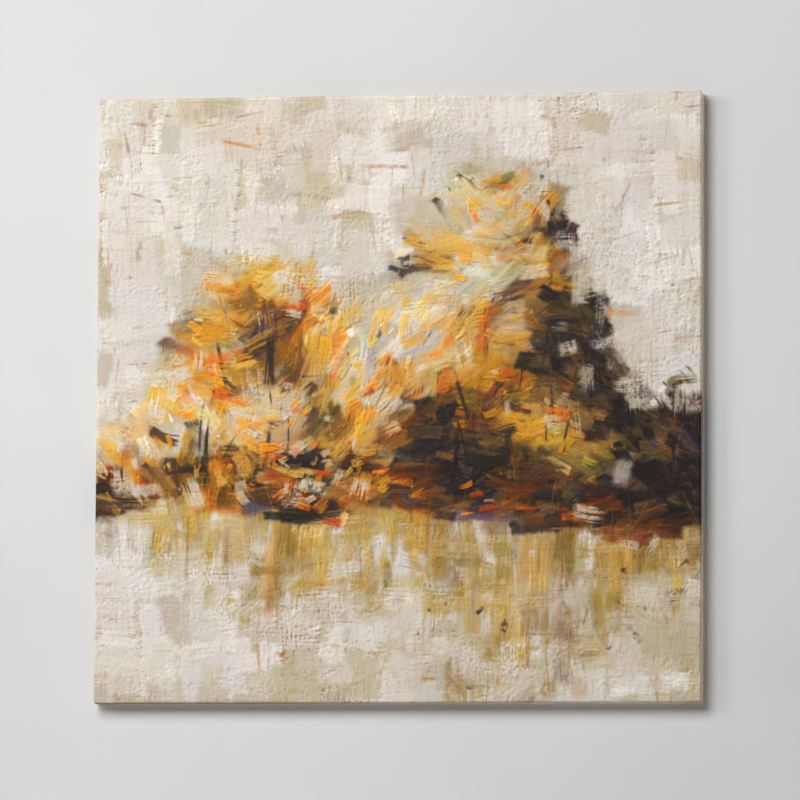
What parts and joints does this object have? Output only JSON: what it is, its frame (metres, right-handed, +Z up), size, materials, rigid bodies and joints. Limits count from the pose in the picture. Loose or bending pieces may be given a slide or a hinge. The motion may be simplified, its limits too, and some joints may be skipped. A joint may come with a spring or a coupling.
{
  "type": "stretched canvas picture",
  "caption": "Square gallery-wrapped canvas picture of autumn trees by water, on a braced pine stretcher frame with a sawtooth hanger and felt bumpers behind, for hanging on a wall.",
  "frame": {"origin": "the middle notch of the sawtooth hanger, where the wall's nail carries it, in the plane of the wall", "axes": "+Z up, -Y out of the wall towards the viewer, +X to the viewer's right; the wall is the plane y = 0"},
  "size_m": [1.2, 0.0413, 1.2],
  "materials": {
    "painted_canvas": "primed cotton duck with thick knife-laid paint under a satin varnish, raw cotton behind",
    "pine": "planed softwood, unfinished",
    "key_wood": "sawn beech, unfinished",
    "hanger_steel": "stamped strip, zinc plated",
    "nail_steel": "bright wire",
    "staple_steel": "galvanised wire",
    "felt": "pressed wool felt"
  },
  "bodies": {
    "root": {"bar_top": "pine", "bar_right": "pine", "bar_bottom": "pine", "bar_left": "pine", "brace_upright": "pine", "brace_level": "pine", "key_top_a": "key_wood", "key_top_b": "key_wood", "key_right_a": "key_wood", "key_right_b": "key_wood", "key_bottom_a": "key_wood", "key_bottom_b": "key_wood", "key_left_a": "key_wood", "key_left_b": "key_wood", "canvas": "painted_canvas", "sawtooth_hanger": "hanger_steel", "hanger_nail_left": "nail_steel", "hanger_nail_right": "nail_steel", "bumper_left": "felt", "bumper_right": "felt"}
  },
  "joints": []
}
